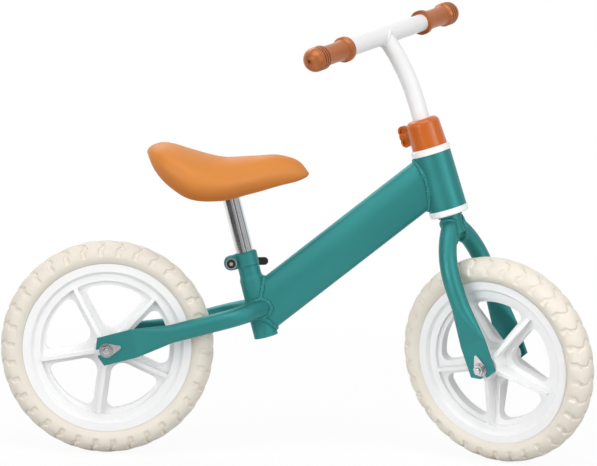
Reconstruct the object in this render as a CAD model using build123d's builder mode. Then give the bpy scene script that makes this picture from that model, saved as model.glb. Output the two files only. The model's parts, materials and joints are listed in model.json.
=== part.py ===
from build123d import *
import os
from math import asin, atan2, cos, radians, sin

# Balance bike on twelve-inch wheels, standing with its bars turned to the right.
# Millimetres and degrees. +X is forward, +Y is the rider's left and +Z is up.
# The origin is on the ground, halfway between the axles, on the frame's middle plane.

# Stance
wheelbase = 554.0
head_lean = 18.8
fork_rake = 7.0
steer_angle = 37.0

# Clearances
running_gap = 0.05
thrust_gap = 0.3
seam_flat = 0.1

# Tyre
tyre_diameter = 300.0
tyre_height = 31.5
tyre_width = 46.0
tread_width = 41.0
crown_rise = 10.5
tyre_shelf = 2.5

# Rim
rim_width = 36.0
rim_wall = 3.5
rim_channel = 11.5
rim_face = 11.0
rim_step = 5.0
rim_bevel = 4.0
rim_depth = 24.5
rim_lip = 6.5
spoke_count = 5
spoke_width = 19.0
spoke_depth = 15.0
rear_spoke_start = -96.0
front_spoke_start = -111.0
rib_width = 5.5
rib_depth = 23.0
flare_radius = 10.0
flare_turn = 80.0
window_root = 17.0
hub_diameter = 36.0
hub_width = 72.0

# Hub bushes, axles and their hardware
bush_diameter = 16.0
bush_length = 14.0
bush_flange = 22.0
bush_lip = 2.0
axle_diameter = 8.0
axle_chamfer = 0.8
axle_stub = 3.5
sleeve_diameter = 14.0
dropout_gap = 88.0
washer_diameter = 20.0
washer_thickness = 2.0
hook_reach = 18.0
hook_diameter = 4.4
hook_depth = 3.0
nut_flats = 13.0
nut_height = 6.5
nut_flange = 17.0
nut_flange_height = 1.6

# Tubes with a flattened and slotted end
stay_diameter = 25.4
stay_wall = 2.0
plate_width = 40.0
plate_thickness = 5.0
plate_end = 13.5
plate_corner_back = 8.2
plate_nose = 13.0
plate_edge = 0.8
plate_length = 40.0
flatten_length = 52.0
halfway_run = 20.0
halfway_width = 35.0
halfway_thickness = 15.0
slot_play = 0.4
hook_play = 0.6

# Chainstays
stay_rise = 16.0
stay_run = 192.0
stay_reach = 45.0
stay_bend = 55.0

# Head tube and steering bushes
head_diameter = 54.0
head_wall = 2.0
head_bottom = 227.0
head_length = 81.0
headset_diameter = 56.0
headset_flange = 9.0
headset_bevel = 1.5
headset_spigot = 16.0

# Steerer and fork
steerer_diameter = 30.0
steerer_top_grip = 12.0
steerer_tail = 25.0
race_diameter = 35.0
race_height = 3.2
crown_corner = 162.0
crown_offset = 6.0
crown_top = 203.0
fork_bend = 100.0

# Handlebar
stem_diameter = 24.4
stem_wall = 2.0
stem_insert = 60.0
stem_straight = 28.0
bar_rise = 99.0
bar_setback = 20.5
bar_diameter = 24.8
bar_wall = 1.8
bar_length = 375.0
grip_length = 92.0
grip_diameter = 34.0
grip_waist = 27.2
grip_flange = 35.5
grip_flange_width = 6.0
grip_neck = 28.8
grip_bevel = 3.0
grip_dome = 14.0
grip_cap = 6.0
dome_turn = 50.0
grip_rings = 3
grip_ring_pitch = 5.0
grip_ring_depth = 1.8
grip_ring_width = 1.8
grip_vent = 4.4

# Handlebar clamp collar and wing knob
collar_diameter = 50.5
collar_top_diameter = 47.0
collar_height = 41.0
collar_round = 8.0
bolt_diameter = 8.0
bolt_height = 22.5
boss_diameter = 15.0
boss_reach = 27.0
knob_hub = 11.0
knob_length = 14.0
wing_span = 31.0
wing_radius = 7.5
wing_dimple = 8.0
wing_web = 2.0
wing_thickness = 7.0

# Down tube
down_height = 67.5
down_width = 36.0
down_wall = 2.0
down_end_radius = 13.0
down_foot = 37.8
down_aim = 11.5

# Seat tube
seat_lean = 16.0
seat_reach = 223.5
seat_foot_height = 171.0
seat_diameter = 34.0
seat_wall = 2.2
seat_shoulder = 84.0
shoulder_length = 6.0
neck_diameter = 30.6
spigot_diameter = 27.8
spigot_length = 21.0
seat_tube_length = 124.0
seat_slot_width = 3.0
seat_slot_length = 30.0

# Seat post and saddle
post_diameter = 25.4
post_wall = 2.0
post_insert = 61.0
post_exposed = 77.0
post_socket = 20.0
saddle_length = 226.0
saddle_height = 92.0
saddle_width = 136.0
saddle_skirt = 0.6
saddle_core = 0.72
saddle_recess = 3.0
saddle_drop = 12.0
# Saddle slices, tail to nose: place from the post, top, bottom and half width, as shares of its sizes
saddle_shares = (
    (-0.527, 0.723, 0.628, 0.103),
    (-0.487, 0.788, 0.374, 0.279),
    (-0.416, 0.848, 0.114, 0.404),
    (-0.274, 0.752, -0.140, 0.500),
    (-0.080, 0.635, -0.152, 0.456),
    (0.124, 0.663, -0.010, 0.309),
    (0.301, 0.698, 0.134, 0.206),
    (0.416, 0.611, 0.251, 0.136),
    (0.473, 0.451, 0.383, 0.051),
)

# Seat clamp
clamp_diameter = 32.4
clamp_height = 20.0
clamp_bevel = 1.0
ear_radius = 10.0
ear_thickness = 7.5
ear_gap = 3.0
clamp_bolt_offset = 22.7
skewer_diameter = 5.0
skewer_stub = 1.5
clamp_nut_diameter = 16.0
clamp_nut_height = 6.0
nut_ring_diameter = 12.4
nut_ring_height = 2.0
cam_washer = 3.0
cam_radius = 8.0
cam_height = 12.0
lever_length = 53.0
lever_width = 11.0
lever_thickness = 5.0
lever_droop = 13.0
lever_pin = 4.0
eye_radius = 4.0
eye_height = 6.0

# Worked out from the sizes above
tyre_radius = tyre_diameter / 2
tread_half = tread_width / 2
crown_radius = (tread_half**2 + crown_rise**2) / (2 * crown_rise)
rim_radius = tyre_radius - tyre_height
rim_bed = rim_radius - rim_channel
bore_radius = rim_radius - rim_depth
lip_radius = bore_radius - rim_lip
channel_half = rim_width / 2 - rim_wall
wheel_tilt = asin(sin(radians(steer_angle)) * sin(radians(head_lean)))
front_axle_height = (tyre_radius - crown_radius) * cos(wheel_tilt) + crown_radius
axis_height = front_axle_height - fork_rake * cos(radians(steer_angle)) * sin(radians(head_lean))
plate_offset = (dropout_gap + plate_thickness) / 2
axle_half = dropout_gap / 2 + plate_thickness + washer_thickness + nut_height + axle_stub
head_top = head_bottom + head_length
collar_bottom = head_top + headset_flange + thrust_gap
collar_top = collar_bottom + collar_height
steerer_top = collar_bottom + steerer_top_grip
race_top = head_bottom - headset_flange - thrust_gap
steerer_bottom = race_top - race_height - steerer_tail
bolt_up = collar_bottom + bolt_height
bend_up = collar_top + stem_straight
bar_up = bend_up + bar_rise
post_top = seat_tube_length + post_exposed

# Frames of reference: each has z along its own axis
head = Plane(
    origin=(wheelbase / 2 - fork_rake * cos(radians(head_lean)), 0, axis_height),
    x_dir=(cos(radians(head_lean)), 0, sin(radians(head_lean))),
    z_dir=(-sin(radians(head_lean)), 0, cos(radians(head_lean))),
)
steer = head.moved(Rotation(0, 0, -steer_angle))
seat = Plane(
    origin=(seat_reach - wheelbase / 2, 0, seat_foot_height),
    x_dir=(cos(radians(seat_lean)), 0, sin(radians(seat_lean))),
    z_dir=(-sin(radians(seat_lean)), 0, cos(radians(seat_lean))),
)


def at(frame, x, y, z):
    """The point with these coordinates in a frame."""
    return frame.from_local_coords(Vector(x, y, z))


def side_of(frame):
    """The sketch plane that holds a frame's x and z."""
    return Plane(frame.origin, x_dir=frame.x_dir, z_dir=-frame.y_dir)


def axis_of(frame):
    """A frame's z axis, for turned pieces."""
    return Axis(frame.origin, frame.z_dir)


def moved(frame, x, y, z):
    """The same frame with its origin carried to a point of its own."""
    return Plane(at(frame, x, y, z), x_dir=frame.x_dir, z_dir=frame.z_dir)


def save(piece, name):
    """Label a finished piece and write it."""
    piece.part.label = name
    export_step(piece.part, f"parts/{name}.step")


def turned(frame, outline):
    """A solid of revolution from (radius, height) points, joined by straight lines."""
    with BuildPart() as piece:
        with BuildSketch(side_of(frame)):
            with BuildLine():
                Polyline(*outline, close=True)
            make_face()
        revolve(axis=axis_of(frame))
    return piece


def pipe(frame, outer, inner, low, high):
    """A plain ring or sleeve along a frame's axis."""
    return turned(frame, [(inner, low), (outer, low), (outer, high), (inner, high)])


os.makedirs("parts", exist_ok=True)

# Hub frames: z points out of the bike's right side, x forward
rear_hub = Plane((-wheelbase / 2, 0, tyre_radius), x_dir=(1, 0, 0), z_dir=(0, -1, 0))
front_hub = Plane(at(steer, fork_rake, 0, 0), x_dir=steer.x_dir, z_dir=-steer.y_dir)


def make_tyre(hub):
    """Foam tyre: a square foot in the rim's channel, bulged walls and a round crown."""
    wall_radius = (rim_radius + tyre_radius - crown_rise) / 2
    shelf = channel_half + tyre_shelf
    shoulder = tyre_radius - crown_rise
    with BuildPart() as tyre:
        with BuildSketch(side_of(hub)):
            with BuildLine():
                Polyline((rim_radius, shelf), (rim_radius, channel_half), (rim_bed, channel_half),
                         (rim_bed, -channel_half), (rim_radius, -channel_half), (rim_radius, -shelf))
                ThreePointArc((rim_radius, -shelf), (wall_radius, -tyre_width / 2), (shoulder, -tread_half))
                ThreePointArc((shoulder, -tread_half), (tyre_radius, 0), (shoulder, tread_half))
                ThreePointArc((shoulder, tread_half), (wall_radius, tyre_width / 2), (rim_radius, shelf))
            make_face()
        revolve(axis=axis_of(hub))
    return tyre


def make_rim(hub):
    """Moulded hoop: an outer channel for the tyre's foot, a bevelled face and a lip in its bore."""
    rim_half = rim_width / 2
    step_half = rim_half - rim_step
    face_radius = rim_radius - rim_face
    band_radius = face_radius - rim_bevel
    lip_half = spoke_depth / 2
    return turned(hub, [(lip_radius, -lip_half), (bore_radius, -lip_half), (bore_radius, -step_half),
                        (band_radius, -step_half), (face_radius, -rim_half), (rim_radius, -rim_half),
                        (rim_radius, -channel_half), (rim_bed, -channel_half), (rim_bed, channel_half),
                        (rim_radius, channel_half), (rim_radius, rim_half), (face_radius, rim_half),
                        (band_radius, step_half), (bore_radius, step_half), (bore_radius, lip_half),
                        (lip_radius, lip_half)])


def make_spider(hub, spoke_start):
    """Moulded spokes: arms that flare into the hoop's lip, a rib along each arm, and a bored hub."""
    spoke_half = spoke_width / 2
    hub_half = hub_width / 2
    hub_radius = hub_diameter / 2
    rib_root = hub_half - bush_lip
    flare = radians(flare_turn)
    flare_start = ((lip_radius - flare_radius)**2 - (spoke_half + flare_radius)**2)**0.5
    flare_x = flare_start + flare_radius * sin(flare)
    flare_y = spoke_half + flare_radius * (1 - cos(flare))
    mid_x = flare_start + flare_radius * sin(flare / 2)
    mid_y = spoke_half + flare_radius * (1 - cos(flare / 2))
    tip_x = lip_radius + spoke_half
    tip_y = flare_y + (tip_x - flare_x) * sin(flare) / cos(flare)
    with BuildSketch(mode=Mode.PRIVATE) as arm:
        with BuildLine():
            Polyline((flare_start, spoke_half), (0, spoke_half), (0, -spoke_half),
                     (flare_start, -spoke_half))
            ThreePointArc((flare_start, -spoke_half), (mid_x, -mid_y), (flare_x, -flare_y))
            Polyline((flare_x, -flare_y), (tip_x, -tip_y), (tip_x, tip_y), (flare_x, flare_y))
            ThreePointArc((flare_x, flare_y), (mid_x, mid_y), (flare_start, spoke_half))
        make_face()
    with BuildPart() as spider:
        with BuildSketch(hub.offset(-spoke_depth / 2)) as star:
            with PolarLocations(0, spoke_count, start_angle=spoke_start):
                add(arm.sketch)
            fillet(star.vertices().sort_by_distance((0, 0))[:spoke_count], window_root)
        extrude(amount=spoke_depth)
        for k in range(spoke_count):
            with BuildSketch(side_of(hub.moved(Rotation(0, 0, spoke_start + k * 360 / spoke_count)))):
                with BuildLine():
                    Polyline((0, -rib_root), (hub_radius, -rib_root), (rim_radius, -rib_depth / 2),
                             (rim_radius, rib_depth / 2), (hub_radius, rib_root), (0, rib_root), close=True)
                make_face()
            extrude(amount=rib_width / 2, both=True)
        with BuildSketch(hub.offset(-hub_half)):
            Circle(hub_radius)
        extrude(amount=hub_width)
        with BuildSketch(hub.offset(-hub_half)):
            Circle(bore_radius)
            Circle(bush_diameter / 2, mode=Mode.SUBTRACT)
        extrude(amount=hub_width, mode=Mode.INTERSECT)
        with BuildSketch(hub.offset(-spoke_depth / 2)):
            Circle(bore_radius)
            Circle(lip_radius, mode=Mode.SUBTRACT)
        extrude(amount=spoke_depth, mode=Mode.SUBTRACT)
    return spider


def make_bush(hub, side):
    """Flanged plastic bush, pressed into one end of a hub."""
    bore = axle_diameter / 2 + running_gap
    lip = side * (hub_width / 2 + bush_lip)
    seat_face = side * hub_width / 2
    inner_end = side * (hub_width / 2 - bush_length)
    return turned(hub, [(bore, inner_end), (bush_diameter / 2, inner_end), (bush_diameter / 2, seat_face),
                        (bush_flange / 2, seat_face), (bush_flange / 2, lip), (bore, lip)])


def make_sleeve(hub, side):
    """Spacer sleeve between a bush and the dropout plate."""
    inner_end = side * (hub_width / 2 + bush_lip + thrust_gap)
    return pipe(hub, sleeve_diameter / 2, axle_diameter / 2, inner_end, side * dropout_gap / 2)


def make_axle(hub):
    """Plain axle rod with chamfered ends."""
    with BuildPart() as axle:
        with BuildSketch(hub.offset(-axle_half)):
            Circle(axle_diameter / 2)
        extrude(amount=2 * axle_half)
        chamfer(axle.edges().filter_by(GeomType.CIRCLE), axle_chamfer)
    return axle


def make_tab_washer(plate_face):
    """Teardrop washer with a hook that drops into the plate's hole, so that it can't turn."""
    with BuildPart() as washer:
        with BuildSketch(plate_face) as drop:
            Circle(washer_diameter / 2)
            with Locations((hook_reach, 0)):
                Circle(hook_diameter / 2 + hook_play)
            make_hull()
            Circle(axle_diameter / 2, mode=Mode.SUBTRACT)
        extrude(amount=washer_thickness)
        with BuildSketch(plate_face):
            with Locations((hook_reach, 0)):
                Circle(hook_diameter / 2)
        extrude(amount=-hook_depth)
    return washer


def make_axle_nut(face):
    """Flanged hexagon nut."""
    with BuildPart() as nut:
        with BuildSketch(face):
            Circle(nut_flange / 2)
        extrude(amount=nut_flange_height)
        with BuildSketch(face):
            RegularPolygon(nut_flats / 2, 6, major_radius=False)
        extrude(amount=nut_height)
        with BuildSketch(face):
            Circle(axle_diameter / 2)
        extrude(amount=nut_height, mode=Mode.SUBTRACT)
    return nut


def make_flat_ended_tube(plate, bend_point, tip, bend_radius):
    """Round tube that bends once and is pressed flat at its other end, with an open axle slot.

    The plate frame has its origin at the axle, x along the tube and z out of the bike's side.
    """
    flat = Plane(at(plate, plate_length, 0, 0), x_dir=plate.y_dir, z_dir=plate.x_dir)
    halfway = flat.offset(halfway_run)
    full = flat.offset(flatten_length)
    plate_half = plate_width / 2
    slot_width = axle_diameter + slot_play
    tube_bore = stay_diameter - 2 * stay_wall
    with BuildPart() as tube:
        with BuildSketch(plate.offset(-plate_thickness / 2)):
            with BuildLine():
                Polyline((plate_length, -plate_half), (plate_length, plate_half),
                         (-plate_corner_back, plate_half), (-plate_end, plate_nose / 2),
                         (-plate_end, -plate_nose / 2), (-plate_corner_back, -plate_half), close=True)
            make_face()
            with Locations((-plate_end / 2, 0)):
                Rectangle(plate_end, slot_width, mode=Mode.SUBTRACT)
            Circle(slot_width / 2, mode=Mode.SUBTRACT)
            with Locations((hook_reach, 0)):
                Circle((hook_diameter + hook_play) / 2, mode=Mode.SUBTRACT)
        extrude(amount=plate_thickness)
        with BuildSketch(flat):
            RectangleRounded(plate_width, plate_thickness, plate_edge)
        with BuildSketch(halfway):
            RectangleRounded(halfway_width, halfway_thickness, halfway_thickness / 2 - seam_flat)
        with BuildSketch(full):
            RectangleRounded(stay_diameter, stay_diameter, stay_diameter / 2 - seam_flat)
        loft()
        with BuildLine(mode=Mode.PRIVATE) as route:
            FilletPolyline(full.origin, bend_point, tip, radius=bend_radius)
        with BuildSketch(full):
            RectangleRounded(stay_diameter, stay_diameter, stay_diameter / 2 - seam_flat)
        sweep(path=route.line)
        with BuildSketch(full):
            RectangleRounded(tube_bore, tube_bore, tube_bore / 2 - seam_flat)
        sweep(path=route.line, mode=Mode.SUBTRACT)
    return tube


def add_wheel_hardware(end, hub, spoke_start, plates):
    """The rim, spider, tyre, bushes, axle, sleeves, tab washers and nuts of one wheel."""
    save(make_rim(hub), f"{end}_rim")
    save(make_spider(hub, spoke_start), f"{end}_spider")
    save(make_tyre(hub), f"{end}_tyre")
    save(make_axle(hub), f"{end}_axle")
    for side, sign in (("right", 1), ("left", -1)):
        plate_face = plates[side].offset(plate_thickness / 2)
        save(make_bush(hub, sign), f"{end}_hub_bush_{side}")
        save(make_sleeve(hub, sign), f"{end}_axle_sleeve_{side}")
        save(make_tab_washer(plate_face), f"{end}_tab_washer_{side}")
        save(make_axle_nut(plate_face.offset(washer_thickness)), f"{end}_axle_nut_{side}")


# Plate frames at the four dropouts: x along the tube, z out of the bike's side
stay_dir = Vector(cos(radians(stay_rise)), 0, sin(radians(stay_rise)))
fork_dir = at(steer, 0, 0, crown_corner) - at(steer, fork_rake, 0, 0)
rear_plates = {
    "right": Plane(at(rear_hub, 0, 0, plate_offset), x_dir=stay_dir, z_dir=rear_hub.z_dir),
    "left": Plane(at(rear_hub, 0, 0, -plate_offset), x_dir=stay_dir, z_dir=-rear_hub.z_dir),
}
front_plates = {
    "right": Plane(at(front_hub, 0, 0, plate_offset), x_dir=fork_dir, z_dir=front_hub.z_dir),
    "left": Plane(at(front_hub, 0, 0, -plate_offset), x_dir=fork_dir, z_dir=-front_hub.z_dir),
}
add_wheel_hardware("rear", rear_hub, rear_spoke_start, rear_plates)
add_wheel_hardware("front", front_hub, front_spoke_start, front_plates)

# Head tube, with a plastic bush in each end
head_bore = head_diameter / 2 - head_wall
head_tube = pipe(head, head_diameter / 2, head_bore, head_bottom, head_top)
save(head_tube, "head_tube")
for name, mouth, way in (("upper", head_top, 1), ("lower", head_bottom, -1)):
    bore = steerer_diameter / 2 + running_gap
    rim_edge = headset_diameter / 2
    outer_face = mouth + way * headset_flange
    corner = outer_face - way * headset_bevel
    spigot_end = mouth - way * headset_spigot
    headset_bush = turned(head, [(bore, spigot_end), (head_bore, spigot_end), (head_bore, mouth),
                                 (rim_edge, mouth), (rim_edge, corner),
                                 (rim_edge - headset_bevel, outer_face), (bore, outer_face)])
    save(headset_bush, f"headset_bush_{name}")

# Seat tube: swaged neck, and a slotted spigot that the clamp closes
spigot_foot = seat_tube_length - spigot_length
post_bore = post_diameter / 2 + running_gap
seat_bore = seat_diameter / 2 - seat_wall
with BuildPart() as seat_tube:
    with BuildSketch(side_of(seat)):
        with BuildLine():
            Polyline((seat_bore, 0), (seat_diameter / 2, 0), (seat_diameter / 2, seat_shoulder),
                     (neck_diameter / 2, seat_shoulder + shoulder_length), (neck_diameter / 2, spigot_foot),
                     (spigot_diameter / 2, spigot_foot), (spigot_diameter / 2, seat_tube_length),
                     (post_bore, seat_tube_length), (post_bore, seat_shoulder),
                     (seat_bore, seat_shoulder - shoulder_length), close=True)
        make_face()
    revolve(axis=axis_of(seat))
    with BuildSketch(moved(seat, -seat_diameter / 2, 0, seat_tube_length - seat_slot_length)):
        Rectangle(seat_diameter, seat_slot_width)
    extrude(amount=seat_slot_length, mode=Mode.SUBTRACT)
save(seat_tube, "seat_tube")

# Down tube: oval, coped round the head tube and the front of the seat tube
down_end = at(head, 0, 0, head_bottom + head_length / 2 + down_aim)
down_dir = (down_end - at(seat, 0, 0, down_foot)).normalized()
down_reach = wheelbase
down_length = down_reach - head_diameter / 4
down = Plane(down_end - down_dir * down_reach, x_dir=(0, 1, 0), z_dir=down_dir)
with BuildPart() as seat_core:
    with BuildSketch(seat):
        Circle(seat_diameter / 2)
    extrude(amount=seat_tube_length)
with BuildPart() as head_core:
    with BuildSketch(head.offset(head_bottom)):
        Circle(head_diameter / 2)
    extrude(amount=head_length)


def make_oval(plane, half_width, half_height, end_radius):
    """An upright oval of four arcs that run smoothly into each other."""
    reach = half_height - end_radius
    side_radius = (reach**2 + half_width**2 - end_radius**2) / (2 * (half_width - end_radius))
    shift = side_radius - half_width
    joint_x = end_radius * shift / (side_radius - end_radius)
    joint_y = reach + end_radius * reach / (side_radius - end_radius)
    with BuildSketch(plane) as oval:
        with BuildLine():
            ThreePointArc((joint_x, -joint_y), (half_width, 0), (joint_x, joint_y))
            ThreePointArc((joint_x, joint_y), (0, half_height), (-joint_x, joint_y))
            ThreePointArc((-joint_x, joint_y), (-half_width, 0), (-joint_x, -joint_y))
            ThreePointArc((-joint_x, -joint_y), (0, -half_height), (joint_x, -joint_y))
        make_face()
    return oval.sketch


with BuildPart() as down_core:
    extrude(make_oval(down, down_width / 2, down_height / 2, down_end_radius), amount=down_length)
    split(bisect_by=Plane(seat.origin, x_dir=seat.z_dir, z_dir=seat.x_dir))
with BuildPart() as down_tube:
    add(down_core.part)
    bore_half = down_width / 2 - down_wall
    down_bore = make_oval(down, bore_half, down_height / 2 - down_wall, down_end_radius - down_wall)
    extrude(down_bore, amount=down_reach, mode=Mode.SUBTRACT)
    add(seat_core.part, mode=Mode.SUBTRACT)
    add(head_core.part, mode=Mode.SUBTRACT)
save(down_tube, "down_tube")

# Chainstays: coped round the seat tube and the foot of the down tube
with BuildPart() as chainstay_right:
    stay_plate = rear_plates["right"]
    add(make_flat_ended_tube(stay_plate, at(stay_plate, stay_run, 0, 0),
                             at(stay_plate, stay_run + stay_reach, 0, -plate_offset), stay_bend).part)
    add(seat_core.part, mode=Mode.SUBTRACT)
    add(down_core.part, mode=Mode.SUBTRACT)
save(chainstay_right, "chainstay_right")
with BuildPart() as chainstay_left:
    mirror(chainstay_right.part, about=Plane.XZ)
save(chainstay_left, "chainstay_left")

# Steerer: a tube with a crown race, which turns in the two bushes
stem_bore = stem_diameter / 2 + running_gap
steerer_tube = turned(steer, [(stem_bore, steerer_bottom), (steerer_diameter / 2, steerer_bottom),
                              (steerer_diameter / 2, race_top - race_height),
                              (race_diameter / 2, race_top - race_height), (race_diameter / 2, race_top),
                              (steerer_diameter / 2, race_top), (steerer_diameter / 2, steerer_top),
                              (stem_bore, steerer_top)])
save(steerer_tube, "steerer_tube")
with BuildPart() as steerer_core:
    with BuildSketch(steer.offset(steerer_bottom)):
        Circle(steerer_diameter / 2)
    extrude(amount=race_top - steerer_bottom)
    with BuildSketch(steer.offset(race_top - race_height)):
        Circle(race_diameter / 2)
    extrude(amount=race_height)

# Fork blades: coped round the foot of the steerer
with BuildPart() as fork_blade_right:
    add(make_flat_ended_tube(front_plates["right"], at(steer, 0, -plate_offset, crown_corner),
                             at(steer, 0, -crown_offset, crown_top), fork_bend).part)
    add(steerer_core.part, mode=Mode.SUBTRACT)
save(fork_blade_right, "fork_blade_right")
with BuildPart() as fork_blade_left:
    mirror(fork_blade_right.part, about=side_of(steer))
save(fork_blade_left, "fork_blade_left")

# Handlebar: a stem that curves back to a straight crossbar
bar_frame = Plane(at(steer, -bar_setback, 0, bar_up), x_dir=steer.x_dir, z_dir=steer.y_dir)
stem_foot = steer.offset(steerer_top - stem_insert)
half_sweep = atan2(bar_setback, bar_rise)
sweep_radius = (bar_rise**2 + bar_setback**2) / (2 * bar_setback)
sweep_mid = sweep_radius * (1 - cos(half_sweep))
with BuildPart() as bar_core:
    with BuildSketch(bar_frame.offset(-bar_length / 2)):
        Circle(bar_diameter / 2)
    extrude(amount=bar_length)
with BuildPart() as handlebar_stem:
    with BuildLine(side_of(steer), mode=Mode.PRIVATE) as stem_route:
        Line((0, steerer_top - stem_insert), (0, bend_up))
        ThreePointArc((0, bend_up), (-sweep_mid, bend_up + sweep_radius * sin(half_sweep)),
                      (-bar_setback, bar_up))
    with BuildSketch(stem_foot):
        Circle(stem_diameter / 2)
        Circle(stem_diameter / 2 - stem_wall, mode=Mode.SUBTRACT)
    sweep(path=stem_route.line)
    add(bar_core.part, mode=Mode.SUBTRACT)
save(handlebar_stem, "handlebar_stem")
crossbar = pipe(bar_frame, bar_diameter / 2, bar_diameter / 2 - bar_wall, -bar_length / 2, bar_length / 2)
save(crossbar, "handlebar_crossbar")


def make_grip(end_frame):
    """Waisted grip: inner flange, slim middle, ringed bulb and a domed end with a vent hole.

    The frame stands at the bar's end with z pointing out of it.
    """
    foot = grip_cap - grip_length
    flange_top = foot + grip_flange_width
    neck_foot = flange_top + grip_bevel
    dome_foot = grip_cap - grip_dome
    ring_foot = dome_foot - grip_rings * grip_ring_pitch
    neck_top = ring_foot - grip_bevel
    bulb = grip_diameter / 2
    bore = bar_diameter / 2
    vent = grip_vent / 2
    dome_mid = (bulb * cos(radians(dome_turn)), dome_foot + grip_dome * sin(radians(dome_turn)))
    with BuildPart() as grip:
        with BuildSketch(side_of(end_frame)):
            with BuildLine():
                Polyline((0, 0), (bore, 0), (bore, foot), (grip_flange / 2, foot),
                         (grip_flange / 2, flange_top), (grip_neck / 2, neck_foot))
                ThreePointArc((grip_neck / 2, neck_foot), (grip_waist / 2, (neck_foot + neck_top) / 2),
                              (grip_neck / 2, neck_top))
                Polyline((grip_neck / 2, neck_top), (bulb, ring_foot), (bulb, dome_foot))
                ThreePointArc((bulb, dome_foot), dome_mid, (vent, grip_cap))
                Polyline((vent, grip_cap), (vent, grip_cap / 2), (0, grip_cap / 2), (0, 0))
            make_face()
        revolve(axis=axis_of(end_frame))
        for k in range(grip_rings):
            with BuildSketch(side_of(end_frame)):
                with Locations((bulb, ring_foot + (k + 0.5) * grip_ring_pitch)):
                    Rectangle(2 * grip_ring_depth, grip_ring_width)
            revolve(axis=axis_of(end_frame), mode=Mode.SUBTRACT)
    return grip


for name, way in (("left", 1), ("right", -1)):
    grip_end = Plane(at(bar_frame, 0, 0, way * bar_length / 2), x_dir=bar_frame.x_dir,
                     z_dir=bar_frame.z_dir * way)
    save(make_grip(grip_end), f"grip_{name}")

# Handlebar clamp collar, with a boss for the wing knob's bolt
bolt_frame = Plane(at(steer, 0, 0, bolt_up), x_dir=steer.z_dir, z_dir=-steer.x_dir)
with BuildPart() as clamp_collar:
    with BuildSketch(side_of(steer)) as collar_section:
        with BuildLine():
            Polyline((stem_bore, steerer_top), (steerer_diameter / 2, steerer_top),
                     (steerer_diameter / 2, collar_bottom), (collar_diameter / 2, collar_bottom),
                     (collar_top_diameter / 2, collar_top), (stem_bore, collar_top), close=True)
        make_face()
        fillet(collar_section.vertices().group_by(Axis.Y)[-1].sort_by(Axis.X)[-1], collar_round)
    revolve(axis=axis_of(steer))
    with BuildSketch(bolt_frame.offset(steerer_diameter / 2)):
        Circle(boss_diameter / 2)
    extrude(amount=boss_reach - steerer_diameter / 2)
    with BuildSketch(bolt_frame):
        Circle(bolt_diameter / 2 + running_gap)
    extrude(amount=boss_reach, mode=Mode.SUBTRACT)
save(clamp_collar, "handlebar_clamp_collar")
knob_foot = boss_reach + thrust_gap
with BuildPart() as clamp_bolt:
    with BuildSketch(bolt_frame.offset(stem_diameter / 2 + thrust_gap)):
        Circle(bolt_diameter / 2)
    extrude(amount=knob_foot + knob_length / 2 - stem_diameter / 2 - thrust_gap)
save(clamp_bolt, "clamp_bolt")
with BuildPart() as wing_knob:
    with BuildSketch(bolt_frame.offset(knob_foot)):
        Circle(knob_hub / 2)
    extrude(amount=knob_length)
    with BuildSketch(side_of(bolt_frame)):
        with Locations((wing_span / 2 - wing_radius, knob_foot + wing_radius),
                       (wing_radius - wing_span / 2, knob_foot + wing_radius)):
            Circle(wing_radius)
    extrude(amount=wing_thickness / 2, both=True)
    for face in (wing_web / 2, -wing_thickness / 2):
        with BuildSketch(side_of(bolt_frame).offset(face)):
            with Locations((wing_span / 2 - wing_radius, knob_foot + wing_radius),
                           (wing_radius - wing_span / 2, knob_foot + wing_radius)):
                Circle(wing_dimple / 2)
        extrude(amount=(wing_thickness - wing_web) / 2, mode=Mode.SUBTRACT)
    with BuildSketch(bolt_frame.offset(knob_foot)):
        Circle(bolt_diameter / 2)
    extrude(amount=knob_length / 2, mode=Mode.SUBTRACT)
save(wing_knob, "wing_knob")

# Seat post, which slides in the seat tube and is fixed in the saddle's base
post_foot = seat_tube_length - post_insert
post_head = post_top + post_socket
seat_post = pipe(seat, post_diameter / 2, post_diameter / 2 - post_wall, post_foot, post_head)
save(seat_post, "seat_post")

# Saddle: ovals cut off flat below, along its length, measured from where the post enters its underside
saddle_mouth = at(seat, 0, 0, post_top)
saddle_slices = [(along * saddle_length, top * saddle_height, bottom * saddle_height, half * saddle_width)
                 for along, top, bottom, half in saddle_shares]
tray_slices = saddle_slices[2:-1]


def saddle_slice(along, top, bottom, half_width):
    """The plane and the half sizes of one slice."""
    plane = Plane(saddle_mouth + Vector(along, 0, (top + bottom) / 2), x_dir=(0, 1, 0), z_dir=(1, 0, 0))
    return plane, half_width, (top - bottom) / 2


with BuildPart() as saddle_form:
    for along, top, bottom, half_width in saddle_slices:
        plane, half_y, half_z = saddle_slice(along, top, bottom, half_width)
        with BuildSketch(plane):
            Ellipse(half_y, half_z)
            with Locations((0, -half_z)):
                Rectangle(2 * half_y, 2 * half_z * (1 - saddle_skirt), mode=Mode.SUBTRACT)
    loft()
with BuildPart() as saddle_hollow:
    for along, top, bottom, half_width in tray_slices:
        plane, half_y, half_z = saddle_slice(along, (top + bottom) / 2, bottom - saddle_drop, half_width)
        with BuildSketch(plane):
            Rectangle(2 * saddle_core * half_y, 2 * half_z)
    loft(ruled=True)
with BuildPart() as saddle_base:
    add(saddle_hollow.part)
    for along, top, bottom, half_width in tray_slices:
        skirt = (top + bottom) / 2 - saddle_skirt * (top - bottom) / 2
        tray_face = skirt + saddle_recess
        plane, half_y, half_z = saddle_slice(along, tray_face, bottom - 2 * saddle_drop, half_width)
        with BuildSketch(plane):
            Rectangle(2 * half_y, 2 * half_z)
    loft(ruled=True, mode=Mode.SUBTRACT)
    with BuildSketch(seat.offset(post_foot)):
        Circle(post_diameter / 2)
    extrude(amount=post_head - post_foot, mode=Mode.SUBTRACT)
save(saddle_base, "saddle_base")
with BuildPart() as saddle_pad:
    add(saddle_form.part)
    add(saddle_hollow.part, mode=Mode.SUBTRACT)
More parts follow.
